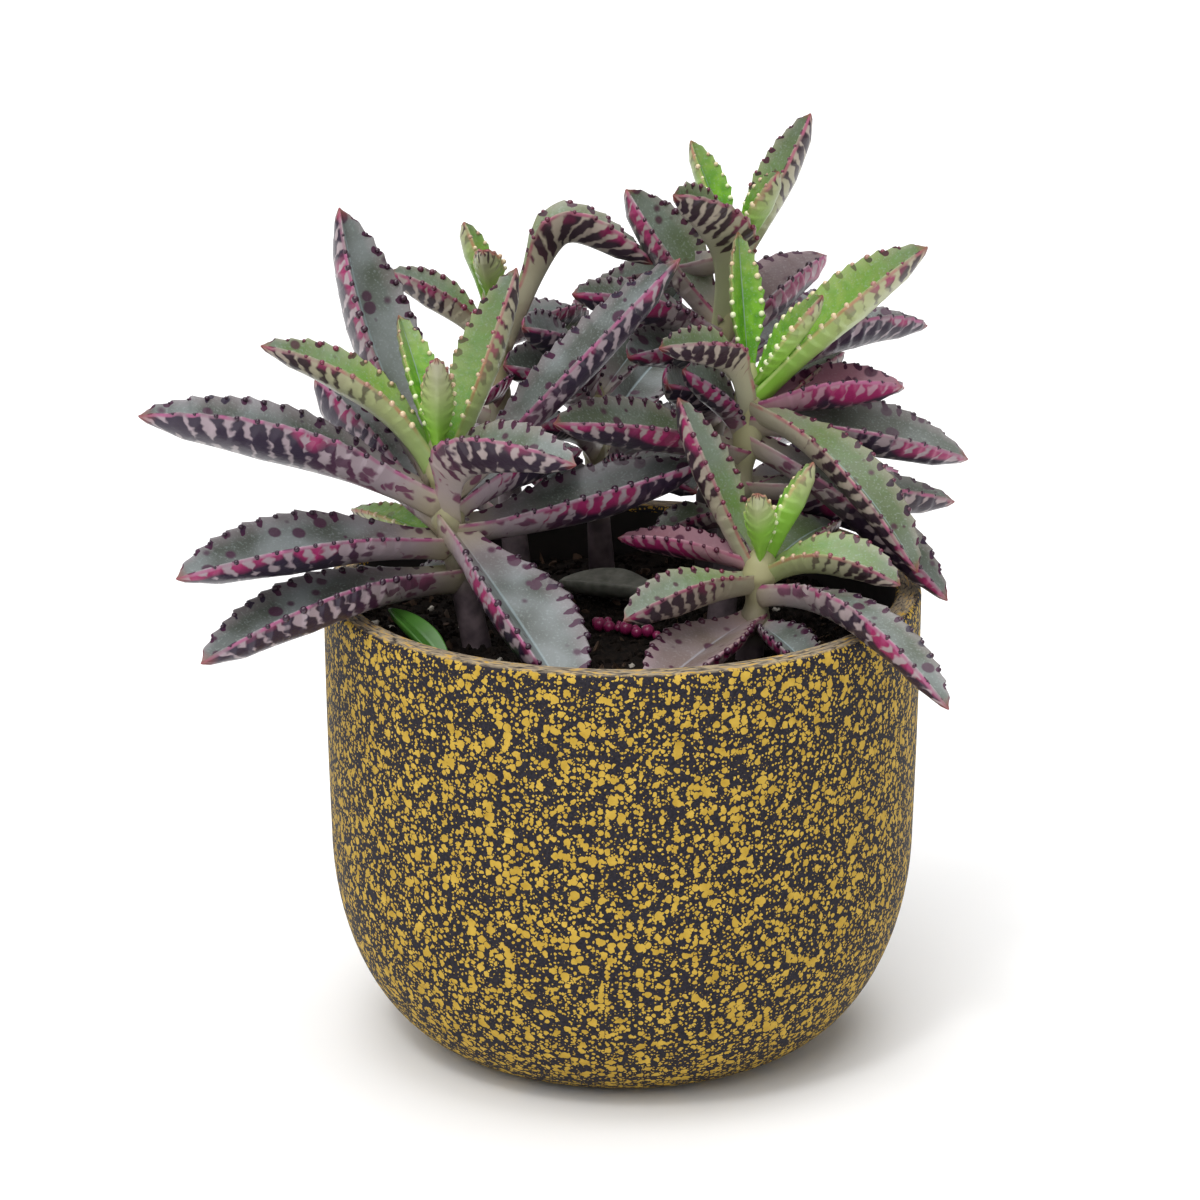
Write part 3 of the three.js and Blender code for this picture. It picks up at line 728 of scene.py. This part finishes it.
for kind in ("blotch", "strewn"):
    part[kind + "_chance"] = add_node(tree, "ShaderNodeSeparateColor", {}, {
        "Color": (part[kind + "_cell"], "Color")})

# How the marks are reckoned, step by step. A row names a part of the pattern, says how it is made and
# from what. FADE takes a part, the two values between which it fades, and the strengths at the two.
MARK_STEPS = [
    # Distance from the nearest bead line, in teeth: straight across the upper face
    ("edge_lean", "SUBTRACT", "edge", 0.5),
    ("bead_count", "MULTIPLY_ADD", "edge_lean", 0.6, "teeth"),
    ("bead_part", "FRACT", "bead_count"),
    ("bead_shift", "SUBTRACT", "bead_part", 0.5),
    ("near_bead", "ABSOLUTE", "bead_shift"),
    # The same on the underside, slanting to the root
    ("below", "SUBTRACT", "around", 1.0),
    ("slant", "MULTIPLY_ADD", "below", 1.5, "bead_count"),
    ("slant_part", "FRACT", "slant"),
    ("slant_shift", "SUBTRACT", "slant_part", 0.5),
    ("near_stripe", "ABSOLUTE", "slant_shift"),
    # Stripes on the tip half of the underside. They widen and merge below the margin, stay short on a
    # young leaf, and give way to blotches towards the stalk.
    ("merge", "FADE", "below", 0.1, 0.5, 0.29, 0.5),
    ("keel_fade", "FADE", "below", 0.6, 1.0, 0, -0.3),
    ("widen", "ADD", "merge", "keel_fade"),
    ("cloud_lean", "SUBTRACT", "flank_cloud", 0.5),
    ("swell", "MULTIPLY_ADD", "cloud_lean", 0.8, "widen"),
    ("stalk_fade", "FADE", "along", 0.22, 0.5, -0.6, 0),
    ("faded", "ADD", "swell", "stalk_fade"),
    ("shortness", "FADE", "age", 0.3, 0.75, -1.1, 0),
    ("stripe_width", "MULTIPLY_ADD", "below", "shortness", "faded"),
    ("stripe_edge", "SUBTRACT", "stripe_width", "near_stripe"),
    ("stripe", "FADE", "stripe_edge", -0.08, 0.07, 0, 1),
    # Blotches on the root half of an old leaf's underside
    ("blotch_reach", "FADE", "blotch_chance", 0.25, 0.9, 0, 0.5),
    ("blotch_root", "FADE", "along", 0.03, 0.16, -0.4, 0),
    ("blotch_tip", "FADE", "along", 0.5, 0.75, 0, -0.5),
    ("blotch_young", "FADE", "age", 0.55, 0.9, -0.5, 0),
    ("blotch_off_root", "ADD", "blotch_reach", "blotch_root"),
    ("blotch_off_tip", "ADD", "blotch_off_root", "blotch_tip"),
    ("blotch_size", "ADD", "blotch_off_tip", "blotch_young"),
    ("blotch_edge", "SUBTRACT", "blotch_size", "blotch_cell"),
    ("blotch", "FADE", "blotch_edge", -0.07, 0.06, 0, 0.9),
    ("under_any", "MAXIMUM", "stripe", "blotch"),
    ("under_side", "FADE", "around", 1.0, 1.05, 0, 1),
    ("under_mark", "MULTIPLY", "under_any", "under_side"),
    # Oval spots just inside the margin, one at each bead
    ("spot_across", "SUBTRACT", "around", 0.9),
    ("spot_out", "DIVIDE", "spot_across", 0.12),
    ("spot_on", "DIVIDE", "near_bead", 0.2),
    ("spot_out_square", "POWER", "spot_out", 2.0),
    ("spot_on_square", "POWER", "spot_on", 2.0),
    ("spot_far", "ADD", "spot_out_square", "spot_on_square"),
    ("patch_lean", "SUBTRACT", "patch", 0.5),
    ("spot_loose", "MULTIPLY_ADD", "patch_lean", -5.0, "spot_far"),
    ("bead_spot", "FADE", "spot_loose", 1.15, 0.85, 0, 1),
    # Soft round spots strewn over the face, larger on an old leaf
    ("strewn_reach", "FADE", "strewn_chance", 0.12, 1.0, 0.1, 0.36),
    ("strewn_young", "FADE", "age", 0.3, 0.95, -0.14, 0),
    ("strewn_size", "ADD", "strewn_reach", "strewn_young"),
    ("strewn_edge", "SUBTRACT", "strewn_size", "strewn_cell"),
    ("strewn_spot", "FADE", "strewn_edge", -0.05, 0.04, 0, 0.88),
    ("face_spots", "MAXIMUM", "bead_spot", "strewn_spot"),
    ("upper_side", "SUBTRACT", 1.0, "under_side"),
    ("upper_mark", "MULTIPLY", "face_spots", "upper_side"),
    ("any_mark", "MAXIMUM", "under_mark", "upper_mark"),
    ("mark_strength", "FADE", "age", 0.14, 0.5, 0, 0.95),
    ("marked", "MULTIPLY", "any_mark", "mark_strength"),
    # Skin under the marks: mottled on a fresh leaf; on an old one pale grey, partly wax bloom and partly
    # painted sheen, and specked; a pale border and rib above, painted shade of darker grey on an old keel,
    # and lilac towards an old stalk
    ("fresh", "FADE", "age", 0, 0.75, 0.75, 0),
    ("mottle", "FADE", "edge_lean", -0.12, 0.12, 0, "fresh"),
    ("broad_lean", "SUBTRACT", "broad", 0.5),
    # Painted sheen with the wax bloom: pale grey patches on old upper faces, more on a shoot with a higher
    # bloom
    ("bloom_patch", "FADE", "broad_lean", -0.1, 0.14, 0.1, 1),
    ("bloom_old", "MULTIPLY", "bloom_patch", "age"),
    ("bloomed", "MULTIPLY", "bloom_old", "bloom"),
    ("speck", "FADE", "fine", 0.55, 0.75, 0, 0.25),
    ("border", "FADE", "around", 0.6, 1.0, 0, 0.42),
    ("rib_line", "FADE", "around", 0.05, 0.02, 0, 0.6),
    # Painted shade: an old leaf's keel, which faces down, goes a darker grey
    ("keel_shade", "FADE", "below", 0.25, 0.9, 0, 0.5),
    ("keel_old", "MULTIPLY", "keel_shade", "age"),
    ("stalk_pale", "FADE", "along", 0.38, 0.08, 0, 0.75),
    ("stalk_old", "MULTIPLY", "stalk_pale", "age"),
    ("crown_pale", "FADE", "along", 0.2, 0.04, 0, 0.8),
    ("crown_old", "MULTIPLY", "crown_pale", "age"),
    # Magenta: a pink leaf's marks near its margin, duller at its root, and its blush
    ("flush_far", "MULTIPLY_ADD", "below", -1.5, "pink"),
    ("flush_loose", "MULTIPLY_ADD", "broad_lean", 2.8, "flush_far"),
    ("flush_patch", "FADE", "flush_loose", 0.05, 0.4, 0, 1),
    ("flush_side", "FADE", "under_side", 0, 1, 0.12, 0.9),
    ("flush", "MULTIPLY", "flush_patch", "flush_side"),
    ("root_near", "FADE", "along", 0.5, 0.2, 0, 0.75),
    ("root_side", "FADE", "under_side", 0, 1, 0.3, 1),
    ("root_warm", "MULTIPLY", "root_near", "root_side"),
    ("blush", "FADE", "pink", 0.75, 1.0, 0, 0.6),
    # The thin broken line along the margin, and the tip
    ("off_line", "SUBTRACT", "around", 1.02),
    ("line_far", "ABSOLUTE", "off_line"),
    ("line_near", "FADE", "line_far", 0.035, 0.01, 0, 1),
    ("line_broken", "FADE", "patch_lean", -0.1, 0.1, 0.25, 0.9),
    ("line", "MULTIPLY", "line_near", "line_broken"),
    ("tip", "FADE", "along", 0.95, 0.99, 0, 0.7),
    ("waxy", "MULTIPLY_ADD", "fine", 0.35, "edge"),
]
FADE_SOCKETS = ("Value", "From Min", "From Max", "To Min", "To Max")
for name, operation, *sources in MARK_STEPS:
    values = [part.get(source, source) for source in sources]
    if operation == "FADE":
        part[name] = add_node(tree, "ShaderNodeMapRange", {}, dict(zip(FADE_SOCKETS, values)))
    else:
        part[name] = add_node(tree, "ShaderNodeMath", {"operation": operation}, dict(enumerate(values)))

AGES = (0, 0.3, 0.65, 1)
AGE_COLOURS = {
    "upper": ("#7cb62e", "#83a244", "#5f6e48", "#464b43"),
    "under": ("#8cc046", "#abb87a", "#b2a497", "#a5949c"),
    "mark": ("#4d6a20", "#3c2a24", "#2a1326", "#1f0f2c"),
    "line": ("#c4dd86", "#b98c66", "#ab5a76", "#a85a82"),
}
colours = {}
for name, tones in AGE_COLOURS.items():
    ramp = add_node(tree, "ShaderNodeValToRGB", {}, {"Fac": part["age"]})
    set_stops(ramp, zip(AGES, tones))
    colours[name + "_by_age"] = (ramp, "Color")

# Each colour starts from another, and is covered in turn where a part of the pattern shows
COLOUR_LAYERS = [
    ("mark", "mark_by_age", [("flush", "#9c1a5c"), ("root_warm", "#7a3a5c")]),
    # The darker grey on the keel is painted shade
    ("under", "under_by_age", [("keel_old", "#7d7f78")]),
    # The pale grey of the bloom is partly painted sheen
    ("upper", "upper_by_age", [("mottle", "#4f8f24"), ("bloomed", "#939a9c"), ("speck", "#aab5b4"),
                               ("border", "under_by_age"), ("rib_line", "#9fb0b4")]),
    ("skin", "upper", [("under_side", "under"), ("stalk_old", "#a8999f"), ("crown_old", "#a9a083"),
                       ("blush", "#b06e88"), ("marked", "mark"), ("line", "line_by_age"),
                       ("tip", "#8a4038")]),
]
for name, first, covers in COLOUR_LAYERS:
    colours[name] = colours[first]
    for where, cover in covers:
        top = colours[cover] if cover in colours else linear(cover)
        colours[name] = add_node(tree, "ShaderNodeMix", {"data_type": "RGBA"}, {
            "Factor": part[where], "A": colours[name], "B": top})
tree.links.new(colours["skin"].outputs[2], shader.inputs["Base Color"])
relief = add_node(tree, "ShaderNodeBump", {}, {"Strength": 0.4, "Distance": 0.0003, "Height": part["waxy"]})
tree.links.new(relief.outputs["Normal"], shader.inputs["Normal"])

# Bead skin: taut and glossy, cream on a fresh leaf and dark plum on an old one
BEAD_STOPS = [(0, "#eaf0c4"), (0.3, "#d8bd98"), (0.5, "#7a2a44"), (0.75, "#481630"), (1, "#2e1028")]
bead_skin, tree, shader, _ = new_material("plantlet bead", 0.28, Coat_Weight=0.3)
bead_age = add_node(tree, "ShaderNodeAttribute", {"attribute_name": "bead_age"})
bead_colour = add_node(tree, "ShaderNodeValToRGB", {}, {"Fac": (bead_age, "Fac")})
set_stops(bead_colour, BEAD_STOPS)
tree.links.new(bead_colour.outputs["Color"], shader.inputs["Base Color"])

beading, sizes = new_tree("beads in the notches", {"Material": "NodeSocketMaterial"})
bead_size = add_node(beading, "GeometryNodeInputNamedAttribute", {"data_type": "FLOAT"}, {
    "Name": "bead_size"})
ball = add_node(beading, "GeometryNodeMeshUVSphere", {}, {"Segments": 8, "Rings": 6, "Radius": 1.0})
strung = add_node(beading, "GeometryNodeInstanceOnPoints", {}, {
    "Points": (sizes, "Geometry"), "Instance": ball, "Scale": bead_size})
end_tree(beading, sizes, strung, True)

# Stem skin: smooth, greenish cream at the young crown and dark mauve brown below it; the dark is partly the
# old stem's own colour and partly painted shade
STEM_GRAIN = 4
stem_skin, tree, shader, place = new_material("stem skin", 0.5)
stem_share = add_node(tree, "ShaderNodeAttribute", {"attribute_name": "stem_share"})
stem_cloud = add_node(tree, "ShaderNodeTexNoise", {}, {
    "Vector": place, "Scale": 1 / (STEM_GRAIN * MM), "Detail": 4})
stem_low_tone_and_shade = add_node(tree, "ShaderNodeValToRGB", {}, {"Fac": stem_cloud})
# Dark mauve brown below the crown: partly the old stem's colour, partly painted shade
set_stops(stem_low_tone_and_shade, [(0.35, "#4d4348"), (0.65, "#7a6b70")])
stem_young = add_node(tree, "ShaderNodeMapRange", {}, {
    "Value": (stem_share, "Fac"), "From Min": 0.45, "From Max": 0.85})
stem_whole = add_node(tree, "ShaderNodeMix", {"data_type": "RGBA"}, {
    "Factor": stem_young, "A": (stem_low_tone_and_shade, "Color"), "B": linear("#b0ac80")})
tree.links.new(stem_whole.outputs[2], shader.inputs["Base Color"])

STEM_RADIUS = 3.3
CROWN_RADIUS = 1.8
CROWN_HEIGHT = 2
STEM_RINGS = 46
STEM_SIDES = 20
stemming, sizes = new_tree("stem along its axis", {
    "Sides": "NodeSocketInt", "Material": "NodeSocketMaterial"})
thickness = add_node(stemming, "GeometryNodeInputNamedAttribute", {"data_type": "FLOAT"}, {
    "Name": "stem_radius"})
path = add_node(stemming, "GeometryNodeMeshToCurve", {}, {"Mesh": (sizes, "Geometry")})
ring = add_node(stemming, "GeometryNodeCurvePrimitiveCircle", {}, {
    "Resolution": (sizes, "Sides"), "Radius": 1.0})
tube = add_node(stemming, "GeometryNodeCurveToMesh", {}, {
    "Curve": path, "Profile Curve": ring, "Scale": thickness, "Fill Caps": True})
end_tree(stemming, sizes, tube, True)


def grow_from_points(made, name, points, edges, readings, settings):
    """Runs a tree on points in millimetres that carry readings, joined by edges or loose."""
    mesh = bpy.data.meshes.new(name + "_source")
    mesh.from_pydata(np.asarray(points) * MM, edges, [])
    store_readings(mesh, readings)
    source = bpy.data.objects.new(name + "_source", mesh)
    bpy.context.collection.objects.link(source)
    piece = grow(made, source, name, settings)
    bpy.data.objects.remove(source)
    return piece


def grow_stem(name, axis, leaves, share):
    """A stem up its axis: it thins to the crown and swells where leaves sit."""
    heights = [point[2] for point in axis]
    top = heights[-1] + CROWN_HEIGHT * share
    up = np.linspace(heights[0], top, STEM_RINGS)
    thin = np.interp(up, heights, np.linspace(STEM_RADIUS, CROWN_RADIUS, len(axis)))
    swell = sum(0.35 * np.exp(-((up - leaf[0]) / 1.6) ** 2) for leaf in leaves)
    radii = (thin + swell) * share * (1 - 0.5 * smooth_step(up, heights[-1], top))
    points = np.array([point_on_axis(axis, height) for height in np.minimum(up, heights[-1])])
    points[:, 2] = up
    return grow_from_points(stemming, name, points, [(i, i + 1) for i in range(STEM_RINGS - 1)], {
        "stem_radius": radii * MM, "stem_share": np.linspace(0, 1, STEM_RINGS)}, {
        "Sides": STEM_SIDES, "Material": stem_skin})


def grow_beads(name, beads, material):
    """Plantlet beads, each from its place, its size and its age."""
    places, radii, ages = zip(*beads)
    return grow_from_points(beading, name, places, [], {
        "bead_size": np.array(radii) * MM, "bead_age": ages}, {"Material": material})


for number, (node, shoot) in enumerate(SHOOTS.items()):
    grown = [make_leaf(point_on_axis(shoot["axis"], leaf[0]), leaf, 100 * number + leaf_number)
             for leaf_number, leaf in enumerate(shoot["leaves"])]
    points, faces, readings = join_leaves(grown)
    leaves = new_piece(node + "_leaves", points, faces, leaf_skin)
    store_readings(leaves.data, {**readings, "leaf_bloom": np.full(len(points), shoot["bloom"])})
    stem = grow_stem(node + "_stem", shoot["axis"], shoot["leaves"], 1)
    beads = grow_beads(node + "_plantlets", [bead for one in grown for bead in one[2]], bead_skin)
    for piece in (leaves, stem, beads):
        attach(piece, "root")
        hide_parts(node)


# Seedling
# A plantlet that fell and rooted near the front rim: three plump, smooth-edged leaves of fresh green
# on a thin stem, all one living piece.
SEEDLING_SEED = 900
SEEDLING_STEM = 0.5
SEEDLING_AXIS = [(-32, -38, 76), (-32, -38, 84), (-32.5, -37, 88)]
SEEDLING_LEAVES = [
    (86, -46, -21, 96, 6, 2, 0, 20, 0.1, 0),
    (86, -24, -33, 88, 5, 1, 0, 20, 0.1, 0),
    (87, -31, -42, 92, 4.5, 0, 0, 20, 0, 0),
]

# Fresh skin: taut and shiny, in two deep greens
fresh_skin = two_tone("fresh leaf skin", 0.3, 4, 3, "#244c16", "#4d8030")

points, faces, _ = join_leaves([
    make_leaf(point_on_axis(SEEDLING_AXIS, leaf[0]), leaf, SEEDLING_SEED + number, False)
    for number, leaf in enumerate(SEEDLING_LEAVES)])
seedling_leaves = new_piece("seedling_leaves", points, faces, fresh_skin)
seedling_stem = grow_stem("seedling_stem", SEEDLING_AXIS, SEEDLING_LEAVES, SEEDLING_STEM)
for piece in (seedling_leaves, seedling_stem):
    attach(piece, "root")
    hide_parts("seedling")


# Shed leaf
# A withered leaf that dropped from a stem. It lies flat on the soil, dull, dusty and grey.
SHED_SEED = 950
SHED_ROOT = (9, 16, 87.6)
SHED_ROW = (0, -13, 24, 87.8, 12, 0.8, 0, 14, 1, 0)

# Dry leaf: matt, dusted with peat
dry_skin = two_tone("dry leaf", 0.9, 2.2, 4, "#42423c", "#a3a498")

points, faces, _ = join_leaves([make_leaf(np.array(SHED_ROOT), SHED_ROW, SHED_SEED, False)])
shed = new_piece("withered_leaf", points, faces, dry_skin)
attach(shed, "root")
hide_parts("shed_leaf")


# Fallen plantlets
# Plantlets that dropped from the leaf margins: small magenta beads in a loose string on the soil, behind
# the front shoot. They lie where they fell.
FALLEN = [(-5.2, 3.4, 1.0), (-4.6, 1.2, 1.5), (-2.9, 2.2, 0.9), (-2.6, -0.9, 1.3), (-0.8, -2.6, 0.8),
          (-0.6, 0.3, 0.6), (0.7, -3.9, 1.5), (2.6, -3.1, 0.8), (2.9, -5.4, 1.2), (5.1, -5.2, 1.4),
          (6.9, -6.4, 1.0)]
CRUMB_LAYER = 0.9

# Fallen bead skin: glossy magenta, still full of sap
fallen_skin = new_material("fallen plantlet", 0.3, Base_Color=linear("#8a1f52"), Coat_Weight=0.3)[0]

fallen = grow_beads("fallen_plantlets", [
    ((x, y, soil_top(x, y) + CRUMB_LAYER + 0.5 * size), size, 1) for x, y, size in FALLEN], fallen_skin)
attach(fallen, "root")


# Floor, lights and camera
# A plain pale sweep under soft studio light, seen from the photo's angle.
FLOOR_HALF = 6000
CAMERA_TARGET = Vector((-0.0045, 0, 0.091))
CAMERA_DISTANCE = 0.9
CAMERA_RISE = math.radians(17.5)
CAMERA_LENS = 134.2
CAMERA_SENSOR = 36

paper = new_material("white paper", 0.9, Base_Color=linear("#fbfbfb"), Specular_IOR_Level=0.1)[0]
corners = [(x * FLOOR_HALF, y * FLOOR_HALF, 0) for x, y in ((-1, -1), (1, -1), (1, 1), (-1, 1))]
floor = new_piece("floor", corners, [(0, 1, 2, 3)], paper)

world = bpy.data.worlds.new("studio")
world.use_nodes = True
backdrop = world.node_tree.nodes["Background"]
backdrop.inputs["Color"].default_value = linear("#ffffff")
backdrop.inputs["Strength"].default_value = 0.28
bpy.context.scene.world = world
bpy.context.scene.view_settings.view_transform = "Standard"

# Each lamp shines from a direction, with a spread in degrees and a power
LAMPS = {
    "key_softbox": ((-0.4, -0.6, 1.0), 60, 1.7),
    "fill_softbox": ((0.7, -0.9, 0.6), 70, 0.35),
    "top_softbox": ((0.1, 0.15, 1), 50, 1.4),
    "back_softbox": ((-0.3, 0.9, 0.9), 50, 0.4),
    "glint": ((-0.5, -0.9, 1.6), 9, 0.5),
}
for name, (direction, spread_angle, power) in LAMPS.items():
    lamp = bpy.data.lights.new(name, "SUN")
    lamp.angle = math.radians(spread_angle)
    lamp.energy = power
    light = bpy.data.objects.new(name, lamp)
    light.rotation_euler = (-Vector(direction)).to_track_quat("-Z", "Y").to_euler()
    bpy.context.collection.objects.link(light)

camera = bpy.data.objects.new("camera", bpy.data.cameras.new("camera"))
camera.data.lens = CAMERA_LENS
camera.data.sensor_width = CAMERA_SENSOR
away = Vector((0, -math.cos(CAMERA_RISE), math.sin(CAMERA_RISE)))
camera.location = CAMERA_TARGET + CAMERA_DISTANCE * away
camera.rotation_euler = (-away).to_track_quat("-Z", "Y").to_euler()
bpy.context.collection.objects.link(camera)
bpy.context.scene.camera = camera
